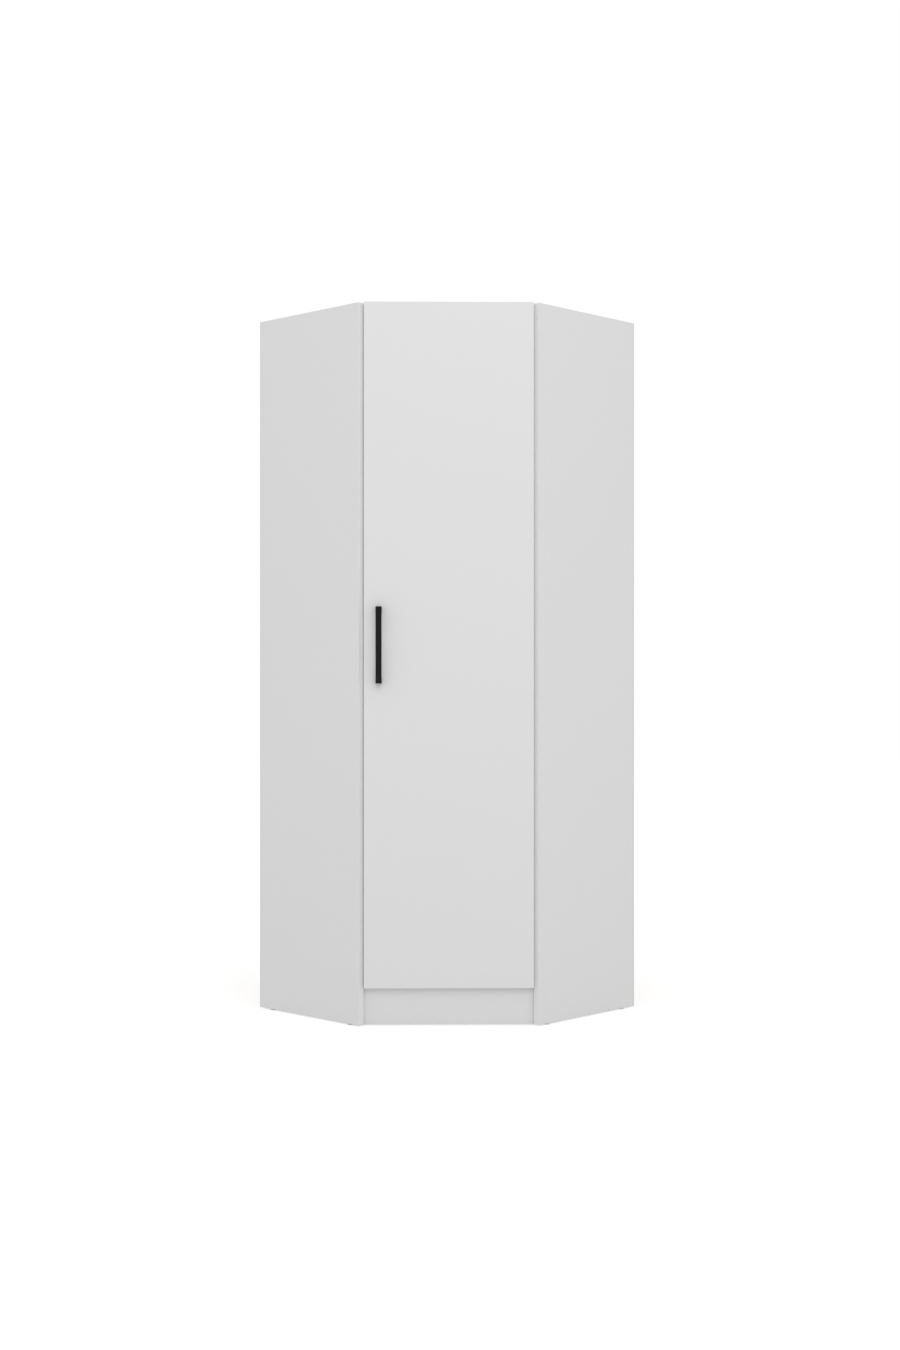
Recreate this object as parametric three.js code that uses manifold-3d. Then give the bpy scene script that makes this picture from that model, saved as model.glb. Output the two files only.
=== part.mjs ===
// A corner wardrobe: two deep side panels stand square to the room's walls, and one tall hinged door
// closes the front between them, across the corner. Every separate piece is its own named mesh.
// Lengths are millimetres, +Z is up, and the door faces -Y.
import * as THREE from "three";
import { mergeVertices } from "three/addons/utils/BufferGeometryUtils.js";
import Module from "manifold-3d";

const wasm = await Module();
wasm.setup();

// Driving sizes of the whole wardrobe.
const PANEL_HEIGHT = 1810; // a side panel from foot to top
const WALL_LENGTH = 700; // along each wall, from the room's corner to the side panel's outer face
const SIDE_DEPTH = 380; // from a wall to the front edge of the side panel that stands on it
const BOARD = 18; // all boards of the case and the door
const BACK = 3; // hardboard backs
const GLIDE = 3; // nailed glides under the panels
const SEAT = 0.3; // gap between faces that meet
const OVERRUN = 1; // how far a cutter passes the face it cuts
const WELD = 1e-4; // vertices closer than this are one

// The door and what it closes against.
const DOOR_GAP = 0.5; // each side, to the side panels' inner corners
const DOOR_SETBACK = 2; // from the door's back to the front edges behind it
const DOOR_FOOT_GAP = 3; // above the plinth
const DOOR_RISE = 1.5; // of the door's top over the side panels
const PLINTH_HEIGHT = 90;
const BUFFER_RADIUS = 4;
const BUFFER_INSET = 14; // from the door's opening edge
const BUFFER_DROP = 9; // from the outer face of the panel that carries it

// Shelf, stile and rail.
const HAT_SPACE = 312; // clear height between the shelf and the top panel
const SHELF_SETBACK = 30; // behind the top panel's front edge
const STILE_WIDTH = 100;
const RAIL_WIDTH = 15;
const RAIL_HEIGHT = 30;
const RAIL_DROP = 45; // from the shelf to the rail's centre
const RAIL_LENGTH = 560;
const RAIL_BACK = 300; // behind the door's front face

// Bar handle.
const HANDLE_LENGTH = 192;
const HANDLE_WIDTH = 15;
const HANDLE_BEVEL = 3;
const HANDLE_BAR = 8; // thickness of the grip
const HANDLE_FOOT = 12; // length of each foot along the bar
const HANDLE_REACH = 27; // from the door to the grip's face
const HANDLE_INSET = 37.5; // the bar's centre line from the door's opening edge
const SCREW_RADIUS = 2;
const SCREW_CLEARANCE = 0.5;
const SCREW_HEAD_RADIUS = 4;
const SCREW_HEAD = 2.4;
const SCREW_GRIP = 12; // length of screw inside the handle's foot

// Cam fittings.
const CAM_RADIUS = 7.5;
const CAM_DEPTH = 12.5;
const BOLT_RADIUS = 3.2;
const BOLT_REACH = 34; // from the side panel's face to the cam's centre
const BOLT_THREAD_RADIUS = 2.5;
const BOLT_THREAD = 11; // length inside the side panel
const FITTING_CLEARANCE = 0.3;
const FITTING_EDGE = 50; // from a panel's front or rear edge to its fitting

// Glides, angle brackets.
const GLIDE_RADIUS = 8;
const GLIDE_PIN_RADIUS = 1.5;
const GLIDE_PIN = 12;
const GLIDE_EDGE = 40; // from a panel's end to its glide
const ANGLE_WIDTH = 16;
const ANGLE_LEG = 28;
const ANGLE_THICKNESS = 2;

// Places worked out from the driving sizes, with the door's front face as y = 0.
const DIAGONAL = Math.SQRT1_2;
const HALF_FRONT = (WALL_LENGTH - SIDE_DEPTH) * DIAGONAL;
const CORNER_DEPTH = (WALL_LENGTH + SIDE_DEPTH) * DIAGONAL;
const INNER_X = HALF_FRONT - BOARD * DIAGONAL; // inner front corner of a side panel
const INNER_Y = BOARD * DIAGONAL;
const DOOR_HALF = INNER_X - DOOR_GAP;
const FRONT_LINE = BOARD + DOOR_SETBACK;
const FOOT = GLIDE;
const TOP = FOOT + PANEL_HEIGHT;
const TOP_UNDER = TOP - BOARD;
const BOTTOM_UNDER = FOOT + PLINTH_HEIGHT;
const BOTTOM_TOP = BOTTOM_UNDER + BOARD;
const SHELF_UNDER = TOP_UNDER - HAT_SPACE - BOARD;
const DOOR_FOOT = BOTTOM_UNDER + DOOR_FOOT_GAP;
const DOOR_TOP = TOP + DOOR_RISE;
const DOOR_MIDDLE = (DOOR_FOOT + DOOR_TOP) / 2;

// Concealed corner hinge, one at each height. Its places are given on the door: `inward` from the
// hinged edge and `behind` the door's back face. The steel arm reaches them from the side panel.
const HINGE_END = 105; // from each end of the door to its hinge
const CUP_CENTRE = 22.5; // inward from the hinged edge
const CUP_RADIUS = 17.5;
const CUP_BORE_CLEARANCE = 0.3;
const CUP_WALL = 1;
const CUP_DEPTH = 13.3;
const CUP_EAR_REACH = 31; // half height of the plate that screws to the door
const CUP_EAR_HALF = 7;
const CUP_EAR = 1.2; // thickness of that plate
const ARM_OUTER_PIN = { inward: 45.3, behind: 8.2 };
const ARM_INNER_PIN = { inward: 39.7, behind: 4.8 };
const CUP_OUTER_PIN = { inward: 14.3, behind: -0.1 };
const CUP_INNER_PIN = { inward: 13.1, behind: -6.7 };
const PIN_RADIUS = 1.2;
const PIN_CLEARANCE = 0.25;
const LINK_END = 3;
const LINK_HALF = 2.5;
const LINK_GAP = 0.4; // between the layers of a hinge
const LINK_LAYER = 4.6; // height of one link
const SLOT_LENGTH = 3.3; // travel of the inner cup pin along its link
const SLOT_ASIDE = 0.3; // the slot's centre line, beside that pin's place at rest
const SLOT_RIM = 1; // steel around the slot
const ELBOW_ALONG = 18; // the inner link's bend, from its arm pin
const ELBOW_ASIDE = 4.9;
const ARM_STEEL = 1.5;
const ARM_LIP = 3.2; // steel around the arm's pins
const PLATE_NEAR = 25; // from the side panel's front edge to the mounting plate
const PLATE_LENGTH = 30;
const PLATE_HALF = 25; // half height of the mounting plate
const PLATE_STEEL = 2;
const RIB_HEIGHT = 6.5;
const RIB_INSET = 2;

const CUP_SIDES = 32;
const ROUND = 20; // sides of turned pieces
const FINE = 12; // sides of screws, bolts and pins

// Solids from three.js geometry, for cutting and joining.
function solidOf(geometry) {
  geometry.deleteAttribute("normal");
  geometry.deleteAttribute("uv");
  const merged = mergeVertices(geometry, WELD);
  return new wasm.Manifold(
    new wasm.Mesh({
      numProp: 3,
      vertProperties: new Float32Array(merged.attributes.position.array),
      triVerts: new Uint32Array(merged.index.array),
    }),
  );
}

function geometryOf(solid) {
  const mesh = solid.getMesh();
  const geometry = new THREE.BufferGeometry();
  geometry.setAttribute("position", new THREE.BufferAttribute(mesh.vertProperties, 3));
  geometry.setIndex(new THREE.BufferAttribute(mesh.triVerts, 1));
  const flat = geometry.toNonIndexed();
  flat.computeVertexNormals();
  return flat;
}

const join = (first, ...others) => others.reduce((whole, other) => whole.add(other), first);
const cut = (body, ...tools) => tools.reduce((left, tool) => left.subtract(tool), body);

// An upright prism over a plan outline.
function prism(outline, low, high, holes = []) {
  const shape = new THREE.Shape(outline.map(([x, y]) => new THREE.Vector2(x, y)));
  for (const hole of holes) {
    shape.holes.push(new THREE.Path(hole.map(([x, y]) => new THREE.Vector2(x, y))));
  }
  const geometry = new THREE.ExtrudeGeometry(shape, { depth: high - low, bevelEnabled: false });
  geometry.translate(0, 0, low);
  return solidOf(geometry);
}

function block(x0, x1, y0, y1, z0, z1) {
  const geometry = new THREE.BoxGeometry(x1 - x0, y1 - y0, z1 - z0);
  geometry.translate((x0 + x1) / 2, (y0 + y1) / 2, (z0 + z1) / 2);
  return solidOf(geometry);
}

// A cylinder between two points.
function rod(from, to, radius, sides = FINE) {
  const start = new THREE.Vector3(...from);
  const end = new THREE.Vector3(...to);
  const way = end.clone().sub(start);
  const geometry = new THREE.CylinderGeometry(radius, radius, way.length(), sides);
  geometry.applyQuaternion(
    new THREE.Quaternion().setFromUnitVectors(new THREE.Vector3(0, 1, 0), way.clone().normalize()),
  );
  const middle = start.add(end).multiplyScalar(1 / 2);
  geometry.translate(middle.x, middle.y, middle.z);
  return solidOf(geometry);
}

const post = (x, y, low, high, radius, sides = ROUND) =>
  rod([x, y, low], [x, y, high], radius, sides);

// Finishes.
const finish = (color, roughness, metalness) =>
  new THREE.MeshStandardMaterial({ color, roughness, metalness });
const white = finish(0xe8e8e8, 0.45, 0);
const hardboard = finish(0xe2e0dc, 0.7, 0);
const black = finish(0x262626, 0.5, 0.3);
const steel = finish(0xb9bcc0, 0.3, 1);
const chrome = finish(0xd5d8dc, 0.12, 1);
const plastic = finish(0xdcdcda, 0.5, 0);

const wardrobe = new THREE.Group();
const assembly = new THREE.Group(); // y = 0 on the door's front face
assembly.position.y = (HANDLE_REACH - CORNER_DEPTH) / 2;
wardrobe.add(assembly);
const corner = new THREE.Group(); // origin in the room's corner, +X along the left wall
corner.position.y = CORNER_DEPTH;
corner.rotation.z = (-3 * Math.PI) / 4;
assembly.add(corner);

function place(group, name, solid, material) {
  const mesh = new THREE.Mesh(geometryOf(solid), material);
  mesh.name = name;
  group.add(mesh);
}

// Plan places beside one wall: `out` from the room's corner along it, `deep` away from it.
const SIDES = ["left", "right"];
const beside = (side, out, deep) => (side === "left" ? [out, deep] : [deep, out]);

// Boards that span from side panel to side panel, and where their fittings sit.
const EDGE = BACK + SEAT; // the boards' rear edges, from either wall
const PANEL_FACE = WALL_LENGTH - BOARD;
// How far the boards reach along each wall at their front corners.
const frontReach = (setback) =>
  WALL_LENGTH + SIDE_DEPTH - (FRONT_LINE + setback) / DIAGONAL - (PANEL_FACE - SEAT);
const LEVELS = [
  { name: "top_panel", under: TOP_UNDER, setback: 0 },
  { name: "bottom_panel", under: BOTTOM_UNDER, setback: 0 },
  { name: "hat_shelf", under: SHELF_UNDER, setback: SHELF_SETBACK },
];

function fittingPlaces(level) {
  const front = frontReach(level.setback);
  const places = [];
  for (const side of SIDES) {
    places.push({ side, row: "front", deep: front - FITTING_EDGE });
    places.push({ side, row: "rear", deep: EDGE + FITTING_EDGE });
  }
  return places;
}

// A cam in a board's underside and its bolt into the side panel; `play` widens it into its bores.
function camFitting(level, spot, play) {
  const [camX, camY] = beside(spot.side, PANEL_FACE - BOLT_REACH, spot.deep);
  const [faceX, faceY] = beside(spot.side, PANEL_FACE - (play > 0 ? 0 : SEAT), spot.deep);
  const [tipX, tipY] = beside(spot.side, PANEL_FACE + BOLT_THREAD + play, spot.deep);
  const middle = level.under + BOARD / 2;
  const foot = play > 0 ? level.under - OVERRUN : level.under;
  const drum = post(camX, camY, foot, level.under + CAM_DEPTH - SEAT + play, CAM_RADIUS + play);
  const bolt = rod([camX, camY, middle], [faceX, faceY, middle], BOLT_RADIUS + play);
  const thread = rod([camX, camY, middle], [tipX, tipY, middle], BOLT_THREAD_RADIUS + play);
  return join(drum, bolt, thread);
}

function spanningBoard(level) {
  const front = frontReach(level.setback);
  const side = PANEL_FACE - SEAT;
  const notchOut = EDGE + STILE_WIDTH + SEAT;
  const notchDeep = EDGE + BOARD + SEAT;
  const rear =
    level.name === "top_panel"
      ? [[EDGE, EDGE]]
      : [
          [EDGE, notchDeep],
          [notchOut, notchDeep],
          [notchOut, EDGE],
        ];
  const outline = [...rear, [side, EDGE], [side, front], [front, side], [EDGE, side]];
  const board = prism(outline, level.under, level.under + BOARD);
  const bores = fittingPlaces(level).map((spot) => camFitting(level, spot, FITTING_CLEARANCE));
  return cut(board, ...bores);
}

function glide(x, y, play) {
  const pad = post(x, y, 0, FOOT, GLIDE_RADIUS);
  const pin = post(x, y, 0, FOOT + GLIDE_PIN + play, GLIDE_PIN_RADIUS + play, FINE);
  return play > 0 ? pin : join(pad, pin);
}

// Glides stand under the middle of each board edge that reaches the floor.
const GLIDES = [
  { name: "glide_left_front", at: beside("left", WALL_LENGTH - BOARD / 2, SIDE_DEPTH - GLIDE_EDGE) },
  { name: "glide_left_rear", at: beside("left", WALL_LENGTH - BOARD / 2, EDGE + GLIDE_EDGE) },
  { name: "glide_right_front", at: beside("right", WALL_LENGTH - BOARD / 2, SIDE_DEPTH - GLIDE_EDGE) },
  { name: "glide_right_rear", at: beside("right", WALL_LENGTH - BOARD / 2, EDGE + GLIDE_EDGE) },
  { name: "glide_stile", at: [EDGE + STILE_WIDTH / 2, EDGE + BOARD / 2] },
];
const glideBores = (names) =>
  GLIDES.filter(({ name }) => names.includes(name)).map(({ at }) => glide(...at, SEAT));

function sidePanel(side) {
  const outline = [
    beside(side, PANEL_FACE, EDGE),
    beside(side, WALL_LENGTH, EDGE),
    beside(side, WALL_LENGTH, SIDE_DEPTH),
    beside(side, PANEL_FACE, SIDE_DEPTH),
  ];
  const tools = glideBores([`glide_${side}_front`, `glide_${side}_rear`]);
  for (const level of LEVELS) {
    for (const spot of fittingPlaces(level)) {
      if (spot.side === side) tools.push(camFitting(level, spot, FITTING_CLEARANCE));
    }
  }
  return cut(prism(outline, FOOT, TOP), ...tools);
}

function backSheet(side) {
  const reach = side === "left" ? 0 : BACK + SEAT; // the right sheet butts against the left one
  const outline = [
    beside(side, reach, 0),
    beside(side, WALL_LENGTH, 0),
    beside(side, WALL_LENGTH, BACK),
    beside(side, reach, BACK),
  ];
  return prism(outline, FOOT, TOP);
}

function rearStile() {
  const board = block(EDGE, EDGE + STILE_WIDTH, EDGE, EDGE + BOARD, FOOT, TOP_UNDER);
  return cut(board, ...glideBores(["glide_stile"]));
}

// The plinth's ends are mitred to meet the side panels.
function plinthBoard() {
  const front = INNER_X + (FRONT_LINE - INNER_Y) - SEAT / DIAGONAL;
  const outline = [
    [-front, FRONT_LINE],
    [front, FRONT_LINE],
    [front + BOARD, FRONT_LINE + BOARD],
    [-front - BOARD, FRONT_LINE + BOARD],
  ];
  return prism(outline, FOOT, BOTTOM_UNDER);
}

// Bent steel strips: one leg on the plinth's back, the other on a side panel.
function plinthBracket(side) {
  const sign = side === "left" ? -1 : 1;
  const back = FRONT_LINE + BOARD + SEAT;
  const bendX = INNER_X + (back - INNER_Y) - SEAT / DIAGONAL;
  const slope = ANGLE_THICKNESS * (Math.SQRT2 - 1);
  const reach = ANGLE_LEG * DIAGONAL;
  const skin = ANGLE_THICKNESS * DIAGONAL;
  const outline = [
    [bendX - ANGLE_LEG, back],
    [bendX, back],
    [bendX + reach, back + reach],
    [bendX + reach - skin, back + reach + skin],
    [bendX - slope, back + ANGLE_THICKNESS],
    [bendX - ANGLE_LEG, back + ANGLE_THICKNESS],
  ].map(([x, y]) => [sign * x, y]);
  const middle = (FOOT + BOTTOM_UNDER) / 2;
  return prism(outline, middle - ANGLE_WIDTH / 2, middle + ANGLE_WIDTH / 2);
}

// Steel angles hold the stile to each level: under the top and the shelf, and on the bottom panel.
function stileAngle(face, upwards) {
  const sign = upwards ? 1 : -1;
  const seat = EDGE + BOARD + SEAT;
  const middle = EDGE + STILE_WIDTH / 2;
  const span = (start, length) => [start, start + sign * length].sort((a, b) => a - b);
  const near = middle - ANGLE_WIDTH / 2;
  const far = middle + ANGLE_WIDTH / 2;
  const upright = block(near, far, seat, seat + ANGLE_THICKNESS, ...span(face, ANGLE_LEG));
  const flat = block(near, far, seat, seat + ANGLE_LEG, ...span(face, ANGLE_THICKNESS));
  return join(upright, flat);
}

for (const side of SIDES) {
  place(corner, `side_panel_${side}`, sidePanel(side), white);
  place(corner, `back_sheet_${side}`, backSheet(side), hardboard);
  place(assembly, `plinth_bracket_${side}`, plinthBracket(side), steel);
}
for (const level of LEVELS) {
  place(corner, level.name, spanningBoard(level), white);
  for (const spot of fittingPlaces(level)) {
    const name = `cam_${level.name}_${spot.side}_${spot.row}`;
    place(corner, name, camFitting(level, spot, 0), steel);
  }
}
place(corner, "rear_stile", rearStile(), white);
place(assembly, "plinth_board", plinthBoard(), white);
place(corner, "stile_angle_top", stileAngle(TOP_UNDER, false), steel);
place(corner, "stile_angle_shelf", stileAngle(SHELF_UNDER, false), steel);
place(corner, "stile_angle_bottom", stileAngle(BOTTOM_TOP, true), steel);
for (const { name, at } of GLIDES) {
  place(corner, name, glide(...at, 0), plastic);
}

const doorX = (inward) => DOOR_HALF - inward;
const onDoor = ({ inward, behind }) => [doorX(inward), BOARD + behind];
const handleX = HANDLE_INSET - DOOR_HALF;
const HINGES = [
  { name: "lower", z: DOOR_FOOT + HINGE_END },
  { name: "middle", z: DOOR_MIDDLE },
  { name: "upper", z: DOOR_TOP - HINGE_END },
];
const HANDLE_ENDS = [
  { name: "lower", z: DOOR_MIDDLE - (HANDLE_LENGTH - HANDLE_FOOT) / 2 },
  { name: "upper", z: DOOR_MIDDLE + (HANDLE_LENGTH - HANDLE_FOOT) / 2 },
];

function doorPanel() {
  const board = block(-DOOR_HALF, DOOR_HALF, 0, BOARD, DOOR_FOOT, DOOR_TOP);
  const cupX = doorX(CUP_CENTRE);
  const bores = HINGES.map(({ z }) =>
    rod(
      [cupX, BOARD - CUP_DEPTH - CUP_BORE_CLEARANCE, z],
      [cupX, BOARD + OVERRUN, z],
      CUP_RADIUS + CUP_BORE_CLEARANCE,
      CUP_SIDES,
    ),
  );
  const holes = HANDLE_ENDS.map(({ z }) =>
    rod([handleX, -OVERRUN, z], [handleX, BOARD + OVERRUN, z], SCREW_RADIUS + SCREW_CLEARANCE),
  );
  return cut(board, ...bores, ...holes);
}

// A bar with bevelled front edges on two feet.
function handle() {
  const width = HANDLE_WIDTH / 2 - HANDLE_BEVEL;
  const height = HANDLE_LENGTH / 2 - HANDLE_BEVEL;
  const face = new THREE.Shape(
    [
      [-width, -height],
      [width, -height],
      [width, height],
      [-width, height],
    ].map(([x, y]) => new THREE.Vector2(x, y)),
  );
  const geometry = new THREE.ExtrudeGeometry(face, {
    depth: HANDLE_BAR - HANDLE_BEVEL,
    bevelThickness: HANDLE_BEVEL,
    bevelSize: HANDLE_BEVEL,
    bevelSegments: 1,
  });
  geometry.rotateX(Math.PI / 2);
  const back = HANDLE_BAR - HANDLE_REACH;
  geometry.translate(handleX, back, DOOR_MIDDLE);
  const left = handleX - HANDLE_WIDTH / 2;
  const right = handleX + HANDLE_WIDTH / 2;
  const low = DOOR_MIDDLE - HANDLE_LENGTH / 2;
  const high = DOOR_MIDDLE + HANDLE_LENGTH / 2;
  const behind = block(left - OVERRUN, right + OVERRUN, back, OVERRUN, low - OVERRUN, high + OVERRUN);
  const feet = HANDLE_ENDS.map(({ z }) =>
    block(left, right, back - OVERRUN, 0, z - HANDLE_FOOT / 2, z + HANDLE_FOOT / 2),
  );
  const taps = HANDLE_ENDS.map(({ z }) =>
    rod([handleX, -SCREW_GRIP - SEAT, z], [handleX, OVERRUN, z], SCREW_RADIUS + FITTING_CLEARANCE),
  );
  return cut(join(cut(solidOf(geometry), behind), ...feet), ...taps);
}

function handleScrew(z) {
  const shank = rod([handleX, -SCREW_GRIP, z], [handleX, BOARD + SCREW_HEAD, z], SCREW_RADIUS);
  const head = rod([handleX, BOARD, z], [handleX, BOARD + SCREW_HEAD, z], SCREW_HEAD_RADIUS, ROUND);
  return join(shank, head);
}

place(assembly, "door_panel", doorPanel(), white);
place(assembly, "handle", handle(), black);
for (const { name, z } of HANDLE_ENDS) {
  place(assembly, `handle_screw_${name}`, handleScrew(z), steel);
}

// Hinge layers, from the hinge's middle height: the outer link above it, the inner link below it,
// and the arm's cheeks outside both.
const LAYER_NEAR = LINK_GAP / 2;
const LAYER_FAR = LAYER_NEAR + LINK_LAYER;
const CHEEK_NEAR = LAYER_FAR + LINK_GAP;
const CHEEK_FAR = CHEEK_NEAR + ARM_STEEL;
const ordered = (z, near, far) => [z + Math.min(near, far), z + Math.max(near, far)];

// A flat bar of even width through plan points, with round ends.
function strip(points, half, low, high) {
  const rounds = points.map(([x, y]) => post(x, y, low, high, half));
  const lengths = points.slice(1).map(([endX, endY], index) => {
    const [startX, startY] = points[index];
    const length = Math.hypot(endX - startX, endY - startY);
    const asideX = (-(endY - startY) / length) * half;
    const asideY = ((endX - startX) / length) * half;
    const outline = [
      [startX + asideX, startY + asideY],
      [startX - asideX, startY - asideY],
      [endX - asideX, endY - asideY],
      [endX + asideX, endY + asideY],
    ];
    return prism(outline, low, high);
  });
  return join(...rounds, ...lengths);
}

function outerLink(z) {
  const [low, high] = ordered(z, LAYER_NEAR, LAYER_FAR);
  const ends = [onDoor(ARM_OUTER_PIN), onDoor(CUP_OUTER_PIN)];
  const holes = ends.map(([x, y]) =>
    post(x, y, low - OVERRUN, high + OVERRUN, PIN_RADIUS + PIN_CLEARANCE, FINE),
  );
  return cut(strip(ends, LINK_END, low, high), ...holes);
}

// The inner link bends round the cup's rim. Its cup end is a slot: the joints turn at constant
// ratios, and the slot takes up what a real four-bar hinge turns unevenly.
function innerLink(z) {
  const [low, high] = ordered(z, -LAYER_NEAR, -LAYER_FAR);
  const start = onDoor(ARM_INNER_PIN);
  const end = onDoor(CUP_INNER_PIN);
  const length = Math.hypot(end[0] - start[0], end[1] - start[1]);
  const ahead = [(end[0] - start[0]) / length, (end[1] - start[1]) / length];
  const at = (along, aside) => [
    start[0] + ahead[0] * along + ahead[1] * aside,
    start[1] + ahead[1] * along - ahead[0] * aside,
  ];
  const elbow = at(ELBOW_ALONG, ELBOW_ASIDE);
  const slot = [at(length, SLOT_ASIDE), at(length + SLOT_LENGTH, SLOT_ASIDE)];
  const slotHalf = PIN_RADIUS + SLOT_ASIDE + PIN_CLEARANCE;
  const body = join(
    strip([start, elbow, slot[0]], LINK_HALF, low, high),
    post(...start, low, high, LINK_END),
    strip(slot, slotHalf + SLOT_RIM, low, high),
  );
  const through = [low - OVERRUN, high + OVERRUN];
  const hole = post(...start, ...through, PIN_RADIUS + PIN_CLEARANCE, FINE);
  return cut(body, hole, strip(slot, slotHalf, ...through));
}

// The cup sits in the door's bore, with ears on the door's back and the two cup pins inside.
function hingeCup(z) {
  const cupX = doorX(CUP_CENTRE);
  const floor = BOARD - CUP_DEPTH;
  const inside = CUP_RADIUS - CUP_WALL;
  const shell = rod([cupX, floor, z], [cupX, BOARD, z], CUP_RADIUS, CUP_SIDES);
  const ears = block(
    cupX - CUP_EAR_HALF,
    cupX + CUP_EAR_HALF,
    BOARD,
    BOARD + CUP_EAR,
    z - CUP_EAR_REACH,
    z + CUP_EAR_REACH,
  );
  const hollow = rod(
    [cupX, floor + CUP_WALL, z],
    [cupX, BOARD + CUP_EAR + OVERRUN, z],
    inside,
    CUP_SIDES,
  );
  const reach = (pin) =>
    Math.sqrt(CUP_RADIUS ** 2 - (Math.abs(pin.inward - CUP_CENTRE) + PIN_RADIUS) ** 2);
  const [outerX, outerY] = onDoor(CUP_OUTER_PIN);
  const [innerX, innerY] = onDoor(CUP_INNER_PIN);
  const outerPin = post(outerX, outerY, z + LAYER_NEAR, z + reach(CUP_OUTER_PIN), PIN_RADIUS, FINE);
  const innerPin = post(innerX, innerY, z - reach(CUP_INNER_PIN), z - LAYER_NEAR, PIN_RADIUS, FINE);
  const lugTop = z + reach(CUP_OUTER_PIN) - CUP_WALL;
  const lug = block(
    outerX - 2 * PIN_RADIUS,
    outerX + 2 * PIN_RADIUS,
    outerY - 2 * CUP_EAR - PIN_RADIUS,
    outerY + CUP_EAR + PIN_RADIUS,
    lugTop - 2 * CUP_EAR,
    lugTop,
  );
  return join(cut(join(shell, ears), hollow), outerPin, innerPin, lug);
}

// A place beside the right side panel: `along` from its front edge and `off` its inner face.
const onPanel = (along, off) => [
  INNER_X + (along - off) * DIAGONAL,
  INNER_Y + (along + off) * DIAGONAL,
];

function hingePlate(z) {
  const far = PLATE_NEAR + PLATE_LENGTH;
  const rectangle = (near, end, top) => [
    onPanel(near, SEAT),
    onPanel(end, SEAT),
    onPanel(end, top),
    onPanel(near, top),
  ];
  const base = prism(rectangle(PLATE_NEAR, far, SEAT + PLATE_STEEL), z - PLATE_HALF, z + PLATE_HALF);
  const ribTop = SEAT + PLATE_STEEL + RIB_HEIGHT;
  const ribHalf = CHEEK_NEAR - SEAT;
  const rib = prism(
    rectangle(PLATE_NEAR + RIB_INSET, far - RIB_INSET, ribTop),
    z - ribHalf,
    z + ribHalf,
  );
  return join(base, rib);
}

// The arm is a channel: two cheeks with a web along their back, over the mounting plate's rib.
function hingeArm(z) {
  const far = PLATE_NEAR + PLATE_LENGTH;
  const underside = PLATE_STEEL + 2 * SEAT;
  const top = SEAT + PLATE_STEEL + RIB_HEIGHT + SEAT + ARM_STEEL;
  const outer = onDoor(ARM_OUTER_PIN);
  const inner = onDoor(ARM_INNER_PIN);
  const knee = onPanel(PLATE_NEAR, top);
  const length = Math.hypot(knee[0] - outer[0], knee[1] - outer[1]);
  const aside = [-(knee[1] - outer[1]) / length, (knee[0] - outer[0]) / length];
  const beyond = (point, distance) => [
    point[0] + aside[0] * distance,
    point[1] + aside[1] * distance,
  ];
  const webFace = LINK_END + LINK_GAP;
  const outline = [
    beyond(outer, webFace + ARM_STEEL),
    beyond(inner, -ARM_LIP),
    onPanel(PLATE_NEAR, underside),
    onPanel(far, underside),
    onPanel(far, top),
    knee,
  ];
  const web = [
    beyond(outer, webFace + ARM_STEEL),
    beyond(outer, webFace),
    onPanel(PLATE_NEAR, top - ARM_STEEL),
    onPanel(far, top - ARM_STEEL),
    onPanel(far, top),
    knee,
  ];
  const cheek = (near, end) => {
    const [low, high] = ordered(z, near, end);
    return join(
      prism(outline, low, high),
      post(...outer, low, high, ARM_LIP),
      post(...inner, low, high, ARM_LIP),
    );
  };
  const pin = (point, near, end) => post(...point, ...ordered(z, near, end), PIN_RADIUS, FINE);
  return join(
    prism(web, z - CHEEK_FAR, z + CHEEK_FAR),
    cheek(CHEEK_NEAR, CHEEK_FAR),
    cheek(-CHEEK_NEAR, -CHEEK_FAR),
    pin(outer, LAYER_NEAR, CHEEK_FAR),
    pin(inner, -LAYER_NEAR, -CHEEK_FAR),
  );
}

for (const { name, z } of HINGES) {
  place(assembly, `hinge_cup_${name}`, hingeCup(z), steel);
  place(assembly, `hinge_arm_${name}`, hingeArm(z), steel);
  place(assembly, `hinge_plate_${name}`, hingePlate(z), steel);
  place(assembly, `hinge_outer_link_${name}`, outerLink(z), steel);
  place(assembly, `hinge_inner_link_${name}`, innerLink(z), steel);
}

// Hanging rail: an oval tube under the shelf, held by two drop brackets and closed by end caps.
const RAIL_WALL = 1;
const BRACKET_STEEL = 2;
const BRACKET_WIDTH = 12;
const BRACKET_INSET = 18; // from the rail's end to its bracket
const BRACKET_FOOT = 44; // the plate under the shelf, front to back
const CAP = 2; // thickness of an end cap's face
const CAP_PLUG = 8;
const OVAL_STEPS = 8;

// An upright oval of straight sides and half-round ends, as (y, z) points.
function oval(grow) {
  const radius = RAIL_WIDTH / 2 + grow;
  const straight = (RAIL_HEIGHT - RAIL_WIDTH) / 2;
  const points = [];
  for (const end of [1, -1]) {
    for (let step = 0; step <= OVAL_STEPS; step += 1) {
      const angle = (Math.PI * step) / OVAL_STEPS;
      points.push([end * radius * Math.cos(angle), end * (straight + radius * Math.sin(angle))]);
    }
  }
  return points.map(([y, z]) => [RAIL_BACK + y, SHELF_UNDER - RAIL_DROP + z]);
}

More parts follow.
